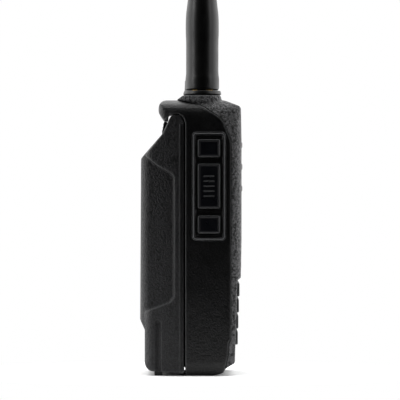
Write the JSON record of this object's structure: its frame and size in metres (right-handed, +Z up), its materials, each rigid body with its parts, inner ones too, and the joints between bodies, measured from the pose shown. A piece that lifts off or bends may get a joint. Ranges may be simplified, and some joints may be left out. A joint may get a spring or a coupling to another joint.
{
  "type": "handheld aviation radio",
  "caption": "Handheld aviation radio with a rubber antenna, volume knob, display, keypad, push-to-talk key and a latched battery pack.",
  "frame": {"origin": "middle of the surface that the radio stands on, under the centre of the body", "axes": "front face towards -Y, battery towards +Y, push-to-talk side towards -X, antenna up along +Z"},
  "size_m": [0.0596, 0.0393, 0.2079],
  "materials": {
    "cover_plastic": "spark-eroded grain, matte black",
    "housing_plastic": "fine satin black",
    "battery_plastic": "fine grain, satin black",
    "bezel_plastic": "fine satin black",
    "side_key_rubber": "smooth silicone, bluish black",
    "keypad_rubber": "smooth silicone with printed marks",
    "mat_silicone": "moulded silicone",
    "antenna_rubber": "smooth moulded elastomer, semi gloss",
    "coupling_plastic": "semi gloss, ribbed",
    "knob_plastic": "satin, fluted",
    "window_acrylic": "polished smoked window",
    "panel_glass": "reflective display",
    "lens_acrylic": "clear moulded lens",
    "frame_plastic": "moulded",
    "speaker_felt": "woven dust cloth",
    "stamped_steel": "tin plated",
    "magnet_iron": "sintered",
    "mic_steel": "plated can",
    "chassis_aluminium": "die cast",
    "black_screw_steel": "black oxide",
    "gold_contact": "gold flashed",
    "spring_steel": "drawn wire",
    "board_laminate": "solder mask",
    "cell_wrap": "shrink wrap",
    "foot_rubber": "smooth rubber",
    "latch_plastic": "satin, ribbed",
    "cover_rubber": "soft moulded rubber"
  },
  "bodies": {
    "radio": {"front_cover": "cover_plastic", "rear_housing": "housing_plastic", "side_key_bezel": "bezel_plastic", "keypad_mat": "mat_silicone", "main_seal": "mat_silicone", "display_window": "window_acrylic", "display_panel": "panel_glass", "status_lens": "lens_acrylic", "display_frame": "frame_plastic", "volume_control": "frame_plastic", "contact_block": "frame_plastic", "accessory_jacks": "frame_plastic", "speaker_mesh": "speaker_felt", "speaker_cone": "speaker_felt", "speaker_basket": "stamped_steel", "shield_cans": "stamped_steel", "chassis_screws": "stamped_steel", "speaker_magnet": "magnet_iron", "microphone": "mic_steel", "chassis_plate": "chassis_aluminium", "housing_screws": "black_screw_steel", "jack_cover_screw": "black_screw_steel", "antenna_jack": "gold_contact", "main_board": "board_laminate", "side_switch_board": "board_laminate", "jack_cover_anchor": "cover_rubber"},
    "antenna": {"antenna_sleeve": "antenna_rubber", "antenna_whip": "gold_contact", "antenna_plug": "gold_contact"},
    "antenna_coupling": {"antenna_coupling": "coupling_plastic"},
    "volume_knob": {"volume_knob": "knob_plastic", "knob_shaft": "stamped_steel"},
    "battery_pack": {"battery_tray": "housing_plastic", "battery_cover": "battery_plastic", "battery_cells": "cell_wrap", "battery_board": "board_laminate", "battery_contacts": "gold_contact", "battery_feet": "foot_rubber", "latch_spring": "spring_steel"},
    "battery_latch": {"battery_latch": "latch_plastic"},
    "jack_cover": {"jack_cover": "cover_rubber"},
    "ptt_button": {"ptt_button": "side_key_rubber"},
    "upper_side_key": {"upper_side_key": "side_key_rubber"},
    "lower_side_key": {"lower_side_key": "side_key_rubber"},
    "key_a1": {"key_a1": "keypad_rubber"},
    "key_a2": {"key_a2": "keypad_rubber"},
    "key_a3": {"key_a3": "keypad_rubber"},
    "key_a4": {"key_a4": "keypad_rubber"},
    "key_b1": {"key_b1": "keypad_rubber"},
    "key_b2": {"key_b2": "keypad_rubber"},
    "key_b3": {"key_b3": "keypad_rubber"},
    "key_b4": {"key_b4": "keypad_rubber"},
    "key_c1": {"key_c1": "keypad_rubber"},
    "key_c2": {"key_c2": "keypad_rubber"},
    "key_c3": {"key_c3": "keypad_rubber"},
    "key_c4": {"key_c4": "keypad_rubber"},
    "key_d1": {"key_d1": "keypad_rubber"},
    "key_d2": {"key_d2": "keypad_rubber"},
    "key_d3": {"key_d3": "keypad_rubber"},
    "key_d4": {"key_d4": "keypad_rubber"}
  },
  "joints": [
    {"name": "antenna_release", "type": "slide", "parent": "radio", "child": "antenna", "axis": [0, 0, 1], "range_m": [0, 0.03]},
    {"name": "coupling_turn", "type": "hinge", "parent": "antenna", "child": "antenna_coupling", "pos_m": [-0.017, -0.0039, 0.1095], "axis": [0, 0, 1], "range_deg": [0, 90]},
    {"name": "volume_turn", "type": "hinge", "parent": "radio", "child": "volume_knob", "pos_m": [0.014, -0.0035, 0.1115], "axis": [0, 0, -1], "range_deg": [0, 270]},
    {"name": "battery_release", "type": "slide", "parent": "radio", "child": "battery_pack", "axis": [0, 0.7071, -0.7071], "range_m": [0, 0.012]},
    {"name": "latch_slide", "type": "slide", "parent": "battery_pack", "child": "battery_latch", "axis": [0, 0.4289, -0.9033], "range_m": [0, 0.002], "stiffness_N_per_m": 400, "springref_m": -0.002, "deforming": ["latch_spring"]},
    {"name": "jack_cover_hinge", "type": "hinge", "parent": "radio", "child": "jack_cover", "pos_m": [0.0288, -0.0032, 0.074], "axis": [0, 0, 1], "range_deg": [0, 100]},
    {"name": "ptt_button_press", "type": "slide", "parent": "radio", "child": "ptt_button", "axis": [1, 0, 0], "range_m": [0, 0.0006], "stiffness_N_per_m": 700, "springref_m": -0.0008},
    {"name": "upper_side_key_press", "type": "slide", "parent": "radio", "child": "upper_side_key", "axis": [1, 0, 0], "range_m": [0, 0.0006], "stiffness_N_per_m": 700, "springref_m": -0.0008},
    {"name": "lower_side_key_press", "type": "slide", "parent": "radio", "child": "lower_side_key", "axis": [1, 0, 0], "range_m": [0, 0.0006], "stiffness_N_per_m": 700, "springref_m": -0.0008},
    {"name": "key_a1_press", "type": "slide", "parent": "radio", "child": "key_a1", "axis": [0, 1, 0], "range_m": [0, 0.0005], "stiffness_N_per_m": 500, "springref_m": -0.0008},
    {"name": "key_a2_press", "type": "slide", "parent": "radio", "child": "key_a2", "axis": [0, 1, 0], "range_m": [0, 0.0005], "stiffness_N_per_m": 500, "springref_m": -0.0008},
    {"name": "key_a3_press", "type": "slide", "parent": "radio", "child": "key_a3", "axis": [0, 1, 0], "range_m": [0, 0.0005], "stiffness_N_per_m": 500, "springref_m": -0.0008},
    {"name": "key_a4_press", "type": "slide", "parent": "radio", "child": "key_a4", "axis": [0, 1, 0], "range_m": [0, 0.0005], "stiffness_N_per_m": 500, "springref_m": -0.0008},
    {"name": "key_b1_press", "type": "slide", "parent": "radio", "child": "key_b1", "axis": [0, 1, 0], "range_m": [0, 0.0005], "stiffness_N_per_m": 500, "springref_m": -0.0008},
    {"name": "key_b2_press", "type": "slide", "parent": "radio", "child": "key_b2", "axis": [0, 1, 0], "range_m": [0, 0.0005], "stiffness_N_per_m": 500, "springref_m": -0.0008},
    {"name": "key_b3_press", "type": "slide", "parent": "radio", "child": "key_b3", "axis": [0, 1, 0], "range_m": [0, 0.0005], "stiffness_N_per_m": 500, "springref_m": -0.0008},
    {"name": "key_b4_press", "type": "slide", "parent": "radio", "child": "key_b4", "axis": [0, 1, 0], "range_m": [0, 0.0005], "stiffness_N_per_m": 500, "springref_m": -0.0008},
    {"name": "key_c1_press", "type": "slide", "parent": "radio", "child": "key_c1", "axis": [0, 1, 0], "range_m": [0, 0.0005], "stiffness_N_per_m": 500, "springref_m": -0.0008},
    {"name": "key_c2_press", "type": "slide", "parent": "radio", "child": "key_c2", "axis": [0, 1, 0], "range_m": [0, 0.0005], "stiffness_N_per_m": 500, "springref_m": -0.0008},
    {"name": "key_c3_press", "type": "slide", "parent": "radio", "child": "key_c3", "axis": [0, 1, 0], "range_m": [0, 0.0005], "stiffness_N_per_m": 500, "springref_m": -0.0008},
    {"name": "key_c4_press", "type": "slide", "parent": "radio", "child": "key_c4", "axis": [0, 1, 0], "range_m": [0, 0.0005], "stiffness_N_per_m": 500, "springref_m": -0.0008},
    {"name": "key_d1_press", "type": "slide", "parent": "radio", "child": "key_d1", "axis": [0, 1, 0], "range_m": [0, 0.0005], "stiffness_N_per_m": 500, "springref_m": -0.0008},
    {"name": "key_d2_press", "type": "slide", "parent": "radio", "child": "key_d2", "axis": [0, 1, 0], "range_m": [0, 0.0005], "stiffness_N_per_m": 500, "springref_m": -0.0008},
    {"name": "key_d3_press", "type": "slide", "parent": "radio", "child": "key_d3", "axis": [0, 1, 0], "range_m": [0, 0.0005], "stiffness_N_per_m": 500, "springref_m": -0.0008},
    {"name": "key_d4_press", "type": "slide", "parent": "radio", "child": "key_d4", "axis": [0, 1, 0], "range_m": [0, 0.0005], "stiffness_N_per_m": 500, "springref_m": -0.0008}
  ]
}
